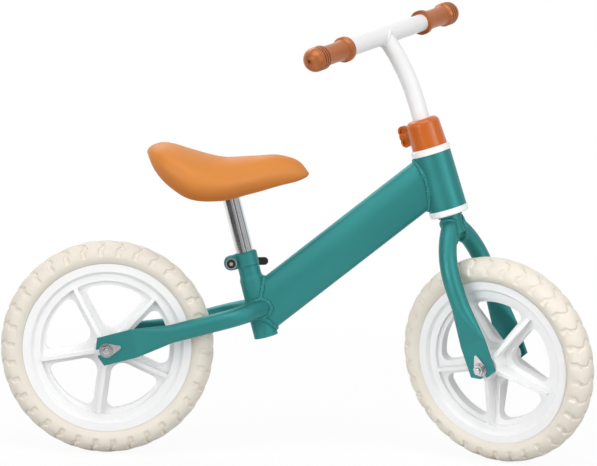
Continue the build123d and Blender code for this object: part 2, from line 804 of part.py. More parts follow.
save(saddle_pad, "saddle_pad")

# Seat clamp: a split collar on the seat tube's spigot, with two ears behind
clamp_middle = spigot_foot + clamp_height / 2
bolt_axis = Plane(at(seat, -clamp_bolt_offset, 0, clamp_middle), x_dir=seat.x_dir, z_dir=-seat.y_dir)
ear_half = ear_gap / 2 + ear_thickness
with BuildPart() as seat_clamp_collar:
    with BuildSketch(seat.offset(spigot_foot)):
        Circle(clamp_diameter / 2)
    extrude(amount=clamp_height)
    chamfer(seat_clamp_collar.edges().filter_by(GeomType.CIRCLE), clamp_bevel)
    with BuildSketch(bolt_axis.offset(-ear_half)):
        Circle(ear_radius)
        with Locations((clamp_bolt_offset / 2, 0)):
            Rectangle(clamp_bolt_offset, 2 * ear_radius)
    extrude(amount=2 * ear_half)
    with BuildSketch(seat.offset(spigot_foot)):
        Circle(spigot_diameter / 2)
        with Locations((-clamp_bolt_offset, 0)):
            Rectangle(2 * clamp_bolt_offset, ear_gap)
    extrude(amount=clamp_height, mode=Mode.SUBTRACT)
    with BuildSketch(bolt_axis.offset(-ear_half)):
        Circle(skewer_diameter / 2)
    extrude(amount=2 * ear_half, mode=Mode.SUBTRACT)
save(seat_clamp_collar, "seat_clamp_collar")

# Clamp nut on the right, with a dark ring round the skewer's end
nut_face = ear_half + clamp_nut_height
clamp_nut = pipe(bolt_axis, clamp_nut_diameter / 2, skewer_diameter / 2, ear_half, nut_face)
save(clamp_nut, "clamp_nut")
ring_face = nut_face + nut_ring_height
clamp_nut_ring = pipe(bolt_axis, nut_ring_diameter / 2, skewer_diameter / 2, nut_face, ring_face)
save(clamp_nut_ring, "clamp_nut_ring")

# Skewer: a rod with an eye at its left end, which carries the lever's pin
cam_middle = ear_half + cam_washer + thrust_gap + cam_radius
lever_turn = seat.moved(Rotation(0, lever_droop, 0))
lever_frame = Plane(at(bolt_axis, 0, 0, -cam_middle), x_dir=lever_turn.x_dir, z_dir=lever_turn.z_dir)
clamp_washer = pipe(bolt_axis, cam_radius, skewer_diameter / 2, -ear_half - cam_washer, -ear_half)
save(clamp_washer, "clamp_washer")
with BuildPart() as clamp_skewer:
    with BuildSketch(bolt_axis.offset(-cam_middle)):
        Circle(skewer_diameter / 2)
    extrude(amount=cam_middle + ring_face + skewer_stub)
    with BuildSketch(lever_frame.offset(-eye_height / 2)):
        Circle(eye_radius)
    extrude(amount=eye_height)
    with BuildSketch(lever_frame.offset(-eye_height / 2)):
        Circle(lever_pin / 2)
    extrude(amount=eye_height, mode=Mode.SUBTRACT)
save(clamp_skewer, "clamp_skewer")
with BuildPart() as clamp_lever_pin:
    with BuildSketch(lever_frame.offset(-cam_height / 2)):
        Circle(lever_pin / 2)
    extrude(amount=cam_height)
save(clamp_lever_pin, "clamp_lever_pin")

# Quick-release lever: a slotted cam head with a flat arm that lies forward beside the collar
with BuildPart() as clamp_lever:
    with BuildSketch(lever_frame.offset(-cam_height / 2)):
        Circle(cam_radius)
    extrude(amount=cam_height)
    with BuildSketch(side_of(lever_frame)):
        with Locations((lever_length / 2 - lever_width / 4, 0)):
            SlotOverall(lever_length + lever_width / 2, lever_width)
    extrude(amount=lever_thickness / 2, both=True)
    slot_room = eye_radius + thrust_gap
    with BuildSketch(lever_frame.offset(-eye_height / 2 - thrust_gap)):
        with Locations(((slot_room - 2 * cam_radius) / 2, 0)):
            Rectangle(slot_room + 2 * cam_radius, 4 * cam_radius)
    extrude(amount=eye_height + 2 * thrust_gap, mode=Mode.SUBTRACT)
    with BuildSketch(lever_frame.offset(-cam_height / 2)):
        Circle(lever_pin / 2 + running_gap)
    extrude(amount=cam_height, mode=Mode.SUBTRACT)
save(clamp_lever, "clamp_lever")
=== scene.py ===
import json
from math import asin, cos, pi, radians, sin
import bmesh
import bpy
import numpy as np
from mathutils import Matrix, Vector


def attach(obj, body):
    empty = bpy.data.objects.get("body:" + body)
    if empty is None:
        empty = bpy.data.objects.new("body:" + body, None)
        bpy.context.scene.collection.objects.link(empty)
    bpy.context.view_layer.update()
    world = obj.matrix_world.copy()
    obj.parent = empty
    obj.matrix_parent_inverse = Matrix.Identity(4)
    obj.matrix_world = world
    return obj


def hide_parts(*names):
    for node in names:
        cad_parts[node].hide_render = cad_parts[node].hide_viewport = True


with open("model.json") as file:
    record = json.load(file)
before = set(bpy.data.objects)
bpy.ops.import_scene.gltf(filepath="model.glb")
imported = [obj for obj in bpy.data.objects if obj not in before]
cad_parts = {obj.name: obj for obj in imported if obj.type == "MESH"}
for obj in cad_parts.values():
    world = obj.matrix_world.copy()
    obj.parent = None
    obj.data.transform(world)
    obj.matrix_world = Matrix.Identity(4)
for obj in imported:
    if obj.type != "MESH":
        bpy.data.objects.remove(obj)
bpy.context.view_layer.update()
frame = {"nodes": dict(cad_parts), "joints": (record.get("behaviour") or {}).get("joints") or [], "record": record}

# Balance bike with its bars turned to the right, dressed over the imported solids.
# Metres. +X is forward, +Y is the rider's left and +Z is up, as in the solids.
MM = 0.001
TURN = 2 * pi
TINY = 1e-9

# Camera: the view that the photograph was taken from
IMAGE_WIDTH = 597
FOCAL_PIXELS = 2739.18
SENSOR = 36.0
VIEW_AZIMUTH = radians(-2.303)
VIEW_ELEVATION = radians(4.543)
VIEW_ROLL = radians(1.945)
VIEW_DISTANCE = 3.8634
VIEW_TARGET = Vector((-0.01278, 0.0, 0.31862))

# Tyre section and tread
TYRE_RADIUS = 150.0 * MM
TYRE_HALF = 23.0 * MM
TREAD_HALF = 20.5 * MM
CROWN_RISE = 10.5 * MM
RIM_RADIUS = 118.5 * MM
RIM_BED = 107.2 * MM
CHANNEL_HALF = 14.4 * MM
SHELF_HALF = 17.0 * MM
TREAD_BLOCKS = 34
GROOVE_HALF = 1.7 * MM
GROOVE_DEPTH = 1.7 * MM
NOTCH_HALF = 4.0 * MM
NOTCH_DEPTH = 1.7 * MM
NOTCH_ROOT = 0.52
GROOVE_WALL = 0.7 * MM
GROOVE_WAVE = 0.17
WAVE_GAIN = 1.7
WAVE_TURN = 1.5 * pi
BLOCK_DOME = 1.0 * MM
SHOULDER_START = 0.66
SHOULDER_END = 0.90
NOTCH_EASE = 0.08
WALL_POINTS = 16
CROWN_POINTS = 46
GROOVE_STEPS = 4
EDGE_STEPS = 5
BLOCK_STEPS = 7

# Saddle: place along the bike, top, skirt and half width, from the post's entry
SADDLE_ENTRY = Vector((-108.9, 0.0, 364.2)) * MM
SADDLE_STATIONS = np.array((
    (-120.5, 63, 63, 0),
    (-119, 67.2, 59.5, 14),
    (-110, 74.0, 42, 38),
    (-97, 77.2, 26.5, 52.5),
    (-82, 75.3, 14.5, 61),
    (-62, 69.2, 3.5, 68),
    (-18, 58.4, 0.5, 62),
    (28, 61, 11.5, 42),
    (68, 64.2, 22.7, 28),
    (94, 56.2, 29.7, 18.5),
    (107, 41.5, 36.5, 7),
    (108.5, 39, 39, 0),
)) * MM
SKIRT_SHARE = 0.6
POCKET_SHARE = 0.72
POCKET_GAP = 1.5 * MM
POCKET_BACK = -97.0 * MM
POCKET_FRONT = 97.0 * MM
POCKET_STEP = 2.0 * MM
POCKET_MOST = 0.96
POCKET_WALL = np.array((0.0, 0.15, 0.5, 0.9))
POCKET_ROOF = np.array((-1, -0.94, -0.6, -0.2, 0.2, 0.6, 0.94, 1))
EDGE_ROLL = 1.6 * MM
EDGE_POINTS = 6
SKIRT_TURN = asin(SKIRT_SHARE)
SADDLE_ROWS = 120
OVER_POINTS = 56

# Padding, blown out by a short cloth simulation
SWELL = 0.6 * MM
SWELL_LEAST_TALL = 3 * SWELL
SWELL_CAP = 2.2 * MM
SWELL_MERGE = 0.4 * MM
SWELL_PRESSURE = 4.0
SWELL_FRAMES = 20
HELD_FACING = -0.35


def unit(vector):
    """The vector made one long."""
    vector = np.asarray(vector, float)
    return vector / np.linalg.norm(vector)


def joint(name):
    """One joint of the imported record."""
    return next(j for j in frame["joints"] if j["name"] == name)


# Directions and places that the joints give
steer_up = unit(joint("steering")["axis"])
steer_left = unit(joint("front_wheel_spin")["axis"])
steer_ahead = np.cross(steer_left, steer_up)
steer_foot = np.array(joint("steering")["pos_m"])
front_hub = np.array(joint("front_wheel_spin")["pos_m"])
rear_hub = np.array(joint("rear_wheel_spin")["pos_m"])
seat_up = unit(joint("seat_height")["axis"])
AHEAD, LEFT, UP = np.eye(3)


# Meshes from grids of points

def smoothstep(low, high, value):
    """0 below low, 1 above high, and a cubic ease between them."""
    share = np.clip((value - low) / (high - low), 0, 1)
    return share * share * (3 - 2 * share)


def surface(name, points, around=False, along=False, poles=False):
    """A mesh from a grid of points, rows by columns.

    around joins the last column to the first and along the last row to the first. With poles, the first
    and the last row are one point each and close the ends with fans of triangles.
    """
    rows, columns = points.shape[:2]
    index = np.arange(rows * columns).reshape(rows, columns)
    if poles:
        index[0] = index[0, 0]
        index[-1] = index[-1, 0]
    if around:
        index = np.concatenate([index, index[:, :1]], axis=1)
    if along:
        index = np.concatenate([index, index[:1]], axis=0)
    corners = [index[:-1, :-1], index[:-1, 1:], index[1:, 1:], index[1:, :-1]]
    return mesh_object(name, points.reshape(-1, 3), np.stack(corners, axis=-1).reshape(-1, 4))


def mesh_object(name, points, quads):
    """An object from points and quads, whose repeated corners become triangles."""
    repeated = np.stack([quads[:, k] == quads[:, (k + 1) % 4] for k in range(4)], axis=1)
    used = np.unique(quads)
    place = np.full(len(points), -1)
    place[used] = np.arange(len(used))
    corners = place[quads]
    faces = [f[~r] for f, r in zip(corners, repeated)] if repeated.any() else corners
    mesh = bpy.data.meshes.new(name)
    mesh.from_pydata(points[used].tolist(), [], [list(map(int, f)) for f in faces])
    mesh.polygons.foreach_set("use_smooth", np.ones(len(mesh.polygons), bool))
    mesh.update()
    piece = bpy.data.objects.new(name, mesh)
    bpy.context.scene.collection.objects.link(piece)
    return piece


def arc_through(start, middle, end, count):
    """Points on the circle through three points, evenly spaced from the first to the last."""
    start, middle, end = (np.asarray(p, float) for p in (start, middle, end))
    chords = 2 * np.array([middle - start, end - start])
    squares = np.array([middle @ middle - start @ start, end @ end - start @ start])
    centre = np.linalg.solve(chords, squares)
    angles = np.unwrap([np.arctan2(*(p - centre)[::-1]) for p in (start, middle, end)])
    turn = np.linspace(angles[0], angles[2], count)
    return centre + np.linalg.norm(start - centre) * np.stack([np.cos(turn), np.sin(turn)], axis=1)


def spline(knots, values, at):
    """Values carried through knots by a cubic with the slope of the neighbours at each knot."""
    slopes = np.gradient(values, knots, axis=0)
    cell = np.clip(np.searchsorted(knots, at, side="right") - 1, 0, len(knots) - 2)
    width = (knots[cell + 1] - knots[cell])[:, None]
    share = ((at - knots[cell])[:, None]) / width
    square, cube = share**2, share**3
    return ((2 * cube - 3 * square + 1) * values[cell] + (cube - 2 * square + share) * width * slopes[cell]
            + (3 * square - 2 * cube) * values[cell + 1] + (cube - square) * width * slopes[cell + 1])


# Finishes: a class for values, one for the nodes of a world or a material, and one for materials

class Value:
    """A number that changes over the surface. Sums and products of it add Math nodes."""

    def __init__(self, nodes, socket):
        self.nodes = nodes
        self.socket = socket

    def math(self, operation, left, right):
        """A Math node on two values."""
        return self.nodes.node("ShaderNodeMath", {"operation": operation}, {0: left, 1: right})

    def __add__(self, other):
        return self.math("ADD", self, other)

    __radd__ = __add__

    def __mul__(self, other):
        return self.math("MULTIPLY", self, other)

    __rmul__ = __mul__

    def __sub__(self, other):
        return self.math("SUBTRACT", self, other)

    def __rsub__(self, other):
        return self.math("SUBTRACT", other, self)

    def about(self, middle, spread):
        """A value from 0 to 1 moved to lie about a middle, with this spread from end to end."""
        return self * spread + (middle - spread / 2)


class Nodes:
    """The nodes of one world or material."""

    def __init__(self, tree):
        self.tree = tree

    def plug(self, socket, value):
        """Set a socket, or link a value to it."""
        if isinstance(value, Value):
            self.tree.links.new(value.socket, socket)
        else:
            socket.default_value = value

    def node(self, kind, settings, inputs, output=0):
        """Any node: its settings first, then its sockets."""
        node = self.tree.nodes.new(kind)
        for key, value in settings.items():
            setattr(node, key, value)
        for key, value in inputs.items():
            self.plug(node.inputs[key], value)
        return Value(self, node.outputs[output])

    def looked_at(self):
        """1 for the camera and for reflections, 0 for light that bounces on."""
        camera = self.node("ShaderNodeLightPath", {}, {}, output="Is Camera Ray")
        mirror = self.node("ShaderNodeLightPath", {}, {}, output="Is Glossy Ray")
        return camera + mirror


class Finish(Nodes):
    """One procedural material."""

    def __init__(self, name):
        self.material = bpy.data.materials.new(name)
        self.material.use_nodes = True
        super().__init__(self.material.node_tree)
        self.shader = self.tree.nodes["Principled BSDF"]
        self.place = self.node("ShaderNodeTexCoord", {}, {}, output="Object")

    def noise(self, scale, detail=2.0, roughness=0.5):
        """Cloudy noise over the object, from 0 to 1."""
        return self.node("ShaderNodeTexNoise", {}, {"Vector": self.place, "Scale": scale, "Detail": detail,
                                                    "Roughness": roughness})

    def cells(self, scale):
        """Distance to the nearest of many scattered points."""
        return self.node("ShaderNodeTexVoronoi", {}, {"Vector": self.place, "Scale": scale},
                         output="Distance")

    def mix(self, share, first, second):
        """Two colours mixed by a share."""
        return self.node("ShaderNodeMix", {"data_type": "RGBA"}, {0: share, 6: first, 7: second}, output=2)

    def tones(self, share, colour, darkest, lightest):
        """One colour between a darker and a lighter tone of it."""
        return self.mix(share, shade(colour, darkest), shade(colour, lightest))

    def bump(self, height, depth, strength):
        """A relief of this depth in metres, fed to the normal."""
        relief = self.node("ShaderNodeBump", {}, {"Height": height, "Distance": depth, "Strength": strength})
        self.plug(self.shader.inputs["Normal"], relief)

    def set(self, **sockets):
        """The shader's own sockets, by their names with underscores."""
        for key, value in sockets.items():
            self.plug(self.shader.inputs[key.replace("_", " ")], value)

    def replace_shader(self, shader):
        """Another shader in the place of the usual one."""
        self.plug(self.tree.nodes["Material Output"].inputs["Surface"], shader)


def shade(colour, factor):
    """A colour made lighter or darker, with full alpha."""
    return (*[min(1.0, c * factor) for c in colour[:3]], 1.0)


def gloss_paint(name, colour, roughness, specular, pearl=0.0):
    """Enamel: slow changes of tone, an orange-peel ripple, and a share of pearl that tints its shine."""
    finish = Finish(name)
    cloud = finish.noise(scale=9.0, detail=3.0)
    haze = finish.noise(scale=35.0)
    ripple = finish.noise(scale=150.0, detail=1.0)
    finish.set(Base_Color=finish.tones(cloud, colour, darkest=0.94, lightest=1.06), Metallic=pearl,
               Roughness=haze.about(roughness, spread=0.10), Specular_IOR_Level=specular)
    finish.bump(ripple, depth=0.05 * MM, strength=0.25)
    return finish.material


def bright_metal(name, colour, roughness, grain, crevice_shade):
    """Plated steel with fine drawn lines, a little haze, and painted shade that darkens it where two pieces meet.
    """
    finish = Finish(name)
    haze = finish.noise(scale=60.0, detail=4.0)
    lines = finish.noise(scale=grain)
    # Painted shade: ambient occlusion turns the colour towards a dark tone where two pieces meet.
    open_air = finish.node("ShaderNodeAmbientOcclusion", {"samples": CREVICE_SHADE_SAMPLES},
                           {"Distance": CREVICE_SHADE_REACH}, output="AO")
    tone = finish.tones(haze, colour, darkest=0.88, lightest=1.05)
    finish.set(Base_Color=finish.mix((1 - open_air) * crevice_shade, tone, shade(colour, CREVICE_SHADE_TONE)), Metallic=1.0,
               Roughness=haze.about(roughness, spread=0.10) + lines.about(0.0, spread=0.06))
    finish.bump(lines, depth=0.02 * MM, strength=0.4)
    return finish.material


def moulded_plastic(name, colour, roughness, specular, pearl=0.0):
    """Moulded plastic or rubber: faint flow marks, a fine skin, and some pearl that tints its shine."""
    finish = Finish(name)
    flow = finish.noise(scale=16.0)
    skin = finish.noise(scale=900.0)
    finish.set(Base_Color=finish.tones(flow, colour, darkest=0.95, lightest=1.04), Metallic=pearl,
               Roughness=skin.about(roughness, spread=0.08), Specular_IOR_Level=specular)
    finish.bump(skin, depth=0.02 * MM, strength=0.25)
    return finish.material


def foam_skin(name, colour):
    """Foam tyre: mottled cream with small pores and a dry skin."""
    finish = Finish(name)
    mottle = finish.noise(scale=28.0, detail=4.0, roughness=0.6)
    pores = finish.cells(scale=650.0)
    finish.set(Base_Color=finish.tones(mottle, colour, darkest=0.93, lightest=1.05),
               Roughness=mottle.about(0.68, spread=0.12), Specular_IOR_Level=0.35)
    finish.bump(pores, depth=0.10 * MM, strength=0.45)
    return finish.material


def grained_leather(name, colour, underside_shade):
    """Artificial leather: pebbled grain, darker in its creases, with painted shade where it faces down."""
    finish = Finish(name)
    grain = finish.cells(scale=1050.0)
    cloud = finish.noise(scale=14.0, detail=3.0)
    facing = finish.node("ShaderNodeTexCoord", {}, {}, output="Normal")
    upward = finish.node("ShaderNodeSeparateXYZ", {}, {0: facing}, output="Z")
    under = finish.node("ShaderNodeMath", {"operation": "MULTIPLY", "use_clamp": True},
                        {0: upward, 1: UNDERSIDE_SHADE_SLOPE})
    tone = finish.tones(cloud, colour, darkest=0.94, lightest=1.05)
    # Painted shade: the colour turns towards a darker tone where the surface faces down.
    tone = finish.mix(under, tone, shade(underside_shade, 1.0))
    finish.set(Base_Color=finish.mix(grain * CREASE_SHARE, tone, shade(colour, CREASE_TONE)),
               Roughness=cloud.about(0.45, spread=0.10), Specular_IOR_Level=0.25)
    finish.bump(1 - grain, depth=0.10 * MM, strength=0.35)
    return finish.material


# Colours, and the finish of each material slot
TEAL = (0.036, 0.245, 0.240)
WHITE = (0.89, 0.89, 0.893)
BAR_WHITE = (0.84, 0.84, 0.845)
ORANGE = (0.56, 0.122, 0.010)
SADDLE = (0.68, 0.245, 0.047)
# Painted shade: the darker tone that the saddle takes where it faces down
SADDLE_UNDERSIDE_SHADE = (0.50, 0.125, 0.015)
GRIP = (0.44, 0.138, 0.042)
CREAM = (0.79, 0.735, 0.645)
STEEL = (0.70, 0.70, 0.71)
CHROME = (0.78, 0.78, 0.80)
BLACK = (0.014, 0.014, 0.015)
# How fast the painted shade on the saddle deepens as its surface turns down
UNDERSIDE_SHADE_SLOPE = -1.1
CREASE_SHARE = 0.35
CREASE_TONE = 0.80
# Painted shade in the crevices of plated steel: how far it reaches, its samples and its darkest tone
CREVICE_SHADE_REACH = 2.5 * MM
CREVICE_SHADE_SAMPLES = 6
CREVICE_SHADE_TONE = 0.10

finishes = {
    "frame_paint": gloss_paint("teal_enamel", TEAL, roughness=0.46, specular=0.22, pearl=0.55),
    "clamp_paint": gloss_paint("teal_clamp_enamel", TEAL, roughness=0.46, specular=0.22, pearl=0.55),
    "bar_paint": gloss_paint("white_enamel", BAR_WHITE, roughness=0.34, specular=0.35),
    # For the plated metals the last number is the share of painted shade where two pieces meet.
    "post_chrome": bright_metal("post_chrome", CHROME, roughness=0.13, grain=300.0, crevice_shade=0.0),
    "hardware_steel": bright_metal("zinc_plate", STEEL, roughness=0.24, grain=500.0, crevice_shade=1.0),
    "clamp_steel": bright_metal("turned_steel", CHROME, roughness=0.20, grain=500.0, crevice_shade=1.0),
    "collar_plastic": moulded_plastic("orange_moulding", ORANGE, roughness=0.26, specular=0.50),
    "grip_rubber": moulded_plastic("brown_rubber", GRIP, roughness=0.34, specular=0.35, pearl=0.35),
    "saddle_skin": grained_leather("orange_leather", SADDLE, SADDLE_UNDERSIDE_SHADE),
    "saddle_base_plastic": moulded_plastic("black_tray", BLACK, roughness=0.5, specular=0.35),
    "rim_plastic": moulded_plastic("white_wheel_moulding", WHITE, roughness=0.42, specular=0.30),
    "bush_plastic": moulded_plastic("white_bush_moulding", WHITE, roughness=0.38, specular=0.35),
    "tyre_foam": foam_skin("cream_foam", CREAM),
    "black_plastic": moulded_plastic("black_moulding", BLACK, roughness=0.35, specular=0.45),
}
for entry in frame["record"]["subparts"]:
    node = frame["nodes"][entry["node"]]
    node.data.materials.clear()
    node.data.materials.append(finishes[entry["material_slot"]])


def dress(piece, body, slot, *nodes):
    """Give a piece its finish and its body, and say which solids it stands for."""
    piece.data.materials.append(finishes[slot])
    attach(piece, body)
    if nodes:
        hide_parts(*nodes)
    return piece


# Tyres

def tyre_section():
    """The tyre's closed outline in radius and across, and each point's place on the wall and the crown.

    Arcs make the two walls and the crown, and straight lines the foot in the rim's channel. wall runs from 0
    at the rim to 1 at the shoulder, and crown from -1 to 1 across the tread.
    """
    shoulder = TYRE_RADIUS - CROWN_RISE
    bulge = ((RIM_RADIUS + shoulder) / 2, TYRE_HALF)
    wall = arc_through((RIM_RADIUS, SHELF_HALF), bulge, (shoulder, TREAD_HALF), WALL_POINTS)
    crown = arc_through((shoulder, TREAD_HALF), (TYRE_RADIUS, 0), (shoulder, -TREAD_HALF), CROWN_POINTS)
    mirror = wall[::-1] * (1, -1)
    foot = np.array([(RIM_RADIUS, -CHANNEL_HALF), (RIM_BED, -CHANNEL_HALF), (RIM_BED, CHANNEL_HALF),
                     (RIM_RADIUS, CHANNEL_HALF)])
    outline = np.concatenate([wall, crown[1:-1], mirror, foot])
    wall_share = (outline[:, 0] - RIM_RADIUS) / (shoulder - RIM_RADIUS)
    return outline, np.clip(wall_share, 0, 1), np.clip(outline[:, 1] / TREAD_HALF, -1, 1)


def make_tyre(name, hub, ahead, up, left):
    """Foam tyre: its outline turned about the hub, pressed in along its own normal by the tread.

    A groove crosses the crown in a clipped wave once for each block and widens into a notch at both
    shoulders. The columns of points follow the groove's line and its two edges, so the edges stay crisp;
    between grooves each block is slightly domed.
    """
    outline, wall, crown = tyre_section()
    step = np.roll(outline, -1, axis=0) - np.roll(outline, 1, axis=0)
    normal = np.stack([-step[:, 1], step[:, 0]], axis=1)
    normal /= np.linalg.norm(normal, axis=1, keepdims=True)
    normal *= np.sign(np.sum(normal * (outline - outline.mean(axis=0)), axis=1))[:, None]
    pitch = TURN * TYRE_RADIUS / TREAD_BLOCKS
    edge = smoothstep(SHOULDER_START, SHOULDER_END, np.abs(crown))
    half = GROOVE_HALF + (NOTCH_HALF - GROOVE_HALF) * edge
    depth = GROOVE_DEPTH + (NOTCH_DEPTH - GROOVE_DEPTH) * edge
    rise = smoothstep(NOTCH_ROOT, NOTCH_ROOT + NOTCH_EASE, wall)
    inner = (half - GROOVE_WALL)[:, None]
    outer = (half + GROOVE_WALL)[:, None]
    floor = np.linspace(0, 1, GROOVE_STEPS)[:-1] * inner
    sides = half[:, None] + np.linspace(-1, 1, EDGE_STEPS) * GROOVE_WALL
    block = np.linspace(0, 1, BLOCK_STEPS)[1:] * (pitch / 2 - outer) + outer
    away = np.concatenate([floor, sides, block], axis=1)
    away = np.concatenate([away, pitch - away[:, -2:0:-1]], axis=1)
    distance = np.minimum(away, pitch - away)
    press = 1 - smoothstep(-GROOVE_WALL, GROOVE_WALL, distance - half[:, None])
    dome = BLOCK_DOME * np.clip(2 * distance / pitch - 1, -1, 0) ** 2
    press = (press * depth[:, None] + dome) * rise[:, None]
    wave = GROOVE_WAVE * np.clip(WAVE_GAIN * np.cos(WAVE_TURN * crown), -1, 1)
    turn = away / TYRE_RADIUS + wave[:, None] * TURN / TREAD_BLOCKS
    steps = np.arange(TREAD_BLOCKS) * TURN / TREAD_BLOCKS
    turn = (steps[:, None, None] + turn.T[None]).reshape(-1, len(outline))
    press = np.tile(press.T, (TREAD_BLOCKS, 1))
    radius = outline[:, 0] - press * normal[:, 0]
    across = outline[:, 1] - press * normal[:, 1]
    spin = np.cos(turn)[..., None] * ahead + np.sin(turn)[..., None] * up
    points = hub + radius[..., None] * spin + across[..., None] * left
    return surface(name, points, around=True, along=True)


front_tread = make_tyre("front_tyre_tread", front_hub, steer_ahead, steer_up, steer_left)
dress(front_tread, "front_wheel", "tyre_foam", "front_tyre")
rear_tread = make_tyre("rear_tyre_tread", rear_hub, AHEAD, UP, LEFT)
dress(rear_tread, "rear_wheel", "tyre_foam", "rear_tyre")


# Saddle

def make_saddle():
    """Padded saddle: ovals along the bike, cut off at the skirt and hollowed from below for the tray.

    Stations give each oval's top, skirt and half width, and a cubic carries them along. A section runs over
    the top from skirt to skirt, rolls round the padded edge as half an oval, and goes up the pocket's wall
    to its ceiling at the oval's middle. Past the pocket's ends the underside stays level with the skirt.
    The ovals start smaller than the finished saddle by what the padding swells.
    """
    chord = np.linalg.norm(np.diff(SADDLE_STATIONS, axis=0), axis=1)
    knots = np.concatenate([[0], np.cumsum(chord)])
    rows = spline(knots, SADDLE_STATIONS, np.linspace(0, knots[-1], SADDLE_ROWS))
    along, top, skirt, half = rows.T[:, :, None]
    half = np.maximum(half, 0)
    tall = np.maximum(top - skirt, 0) / (1 + SKIRT_SHARE)
    middle = top - tall
    edge = half * cos(SKIRT_TURN)
    pocket = np.minimum(POCKET_SHARE * half + POCKET_GAP, POCKET_MOST * edge)
    turn = np.linspace(-SKIRT_TURN, pi + SKIRT_TURN, OVER_POINTS)
    full = 1 - SWELL * smoothstep(-SKIRT_SHARE, 0, np.sin(turn)) / np.maximum(tall, SWELL_LEAST_TALL)
    over_y = full * half * np.cos(turn)
    over_z = middle + full * tall * np.sin(turn)
    bend = np.linspace(0, pi, EDGE_POINTS)[1:-1]
    roll_y = (edge + pocket) / 2 + (edge - pocket) / 2 * np.cos(bend)
    roll_z = skirt - np.minimum(EDGE_ROLL, edge - pocket) * np.sin(bend)
    deep = smoothstep(POCKET_BACK - POCKET_STEP, POCKET_BACK, along)
    deep = deep * (1 - smoothstep(POCKET_FRONT, POCKET_FRONT + POCKET_STEP, along))
    ceiling = skirt + deep * (middle + POCKET_GAP - skirt)
    wall_z = skirt + POCKET_WALL * (ceiling - skirt)
    wall_y = np.broadcast_to(pocket, wall_z.shape)
    roof_y = pocket * POCKET_ROOF
    roof_z = np.broadcast_to(ceiling, roof_y.shape)
    across = np.concatenate([over_y, -roll_y, -wall_y, roof_y, wall_y[:, ::-1], roll_y[:, ::-1]], axis=1)
    height = np.concatenate([over_z, roll_z, wall_z, roof_z, wall_z[:, ::-1], roll_z[:, ::-1]], axis=1)
    points = np.stack([np.broadcast_to(along, height.shape), across, height], axis=-1)
    return surface("saddle_cover", points + np.array(SADDLE_ENTRY), around=True, poles=True)


def vertex_places(mesh):
    """Every vertex's place as rows of an array."""
    places = np.empty(3 * len(mesh.vertices))
    mesh.vertices.foreach_get("co", places)
    return places.reshape(-1, 3)


def swell(piece):
    """Blow the padding out: cloth under pressure without gravity, with its underside held.

    Points that lie together become one first. What faces down is held. Each point takes the cloth's
    movement, cut to the cap along its own line.
    """
    mesh = piece.data
    joined = bmesh.new()
    joined.from_mesh(mesh)
    bmesh.ops.remove_doubles(joined, verts=joined.verts, dist=SWELL_MERGE)
    joined.to_mesh(mesh)
    joined.free()
    before = vertex_places(mesh)
    facing = np.empty(3 * len(mesh.vertices))
    mesh.vertices.foreach_get("normal", facing)
    held = piece.vertex_groups.new(name="held")
    held.add(np.flatnonzero(facing[2::3] < HELD_FACING).tolist(), 1.0, "REPLACE")
    cloth = piece.modifiers.new("padding", "CLOTH")
    cloth.settings.vertex_group_mass = held.name
    cloth.settings.use_pressure = True
    cloth.settings.uniform_pressure_force = SWELL_PRESSURE
    cloth.settings.effector_weights.gravity = 0
    cloth.point_cache.frame_start = 1
    cloth.point_cache.frame_end = SWELL_FRAMES
    for step in range(1, SWELL_FRAMES + 1):
        bpy.context.scene.frame_set(step)
    blown = piece.evaluated_get(bpy.context.evaluated_depsgraph_get())
    move = vertex_places(blown.data) - before
    length = np.linalg.norm(move, axis=1, keepdims=True)
    piece.modifiers.remove(cloth)
    bpy.context.scene.frame_set(1)
    after = before + move * np.minimum(1, SWELL_CAP / np.maximum(length, TINY))
    mesh.vertices.foreach_set("co", after.ravel())
    mesh.update()


cover = make_saddle()
swell(cover)
smooth = cover.modifiers.new("smooth", "SUBSURF")
smooth.levels = 1
smooth.render_levels = 1
dress(cover, "seat", "saddle_skin", "saddle_pad")


# Weld beads along the joints of the tubes

HEAD_RADIUS = 27.0 * MM
DOWN_HALF_HEIGHT = 33.75 * MM
DOWN_HALF_WIDTH = 18.0 * MM
DOWN_SLOPE = radians(39.66)
DOWN_AIM = 279.0 * MM
SEAT_FOOT = np.array((-53.5, 0.0, 171.0)) * MM
SEAT_RADIUS = 17.0 * MM
STAY_RADIUS = 12.7 * MM
STAY_RISE = radians(16.0)
STAY_RUN = 192.0 * MM
STAY_REACH = 45.0 * MM
PLATE_OFFSET = 46.5 * MM
CROWN_CORNER = 162.0 * MM
CROWN_OFFSET = 6.0 * MM
CROWN_TOP = 203.0 * MM
STEERER_RADIUS = 15.0 * MM
BAR_RADIUS = 12.4 * MM
STEM_RADIUS = 12.2 * MM
BAR_UP = 485.3 * MM
BAR_SETBACK = 20.5 * MM
BAR_RISE = 99.0 * MM
DOWN_BACK = 200.0 * MM
STEM_BACK = 50.0 * MM
WELD_RADIUS = 2.9 * MM
WELD_LAP = 4.6 * MM
BAR_WELD_RADIUS = 1.9 * MM
RING_POINTS = 160
WELD_POINTS = 420
BEAD_SIDES = 12
LAP_SWELL = 0.20
SLOW_SWELL = 0.10
SLOW_WAVES = 3
SLOW_START = 1.0
QUICK_SWELL = 0.07
QUICK_WAVES = 11
down_dir = np.array((cos(DOWN_SLOPE), 0.0, sin(DOWN_SLOPE)))
down_up = np.array((-sin(DOWN_SLOPE), 0.0, cos(DOWN_SLOPE)))
down_end = steer_foot + steer_up * DOWN_AIM


def ring_of(centre, first, second):
    """Points round an oval, from its centre and two half axes."""
    turn = np.arange(RING_POINTS)[:, None] * TURN / RING_POINTS
    return centre + np.cos(turn) * first + np.sin(turn) * second


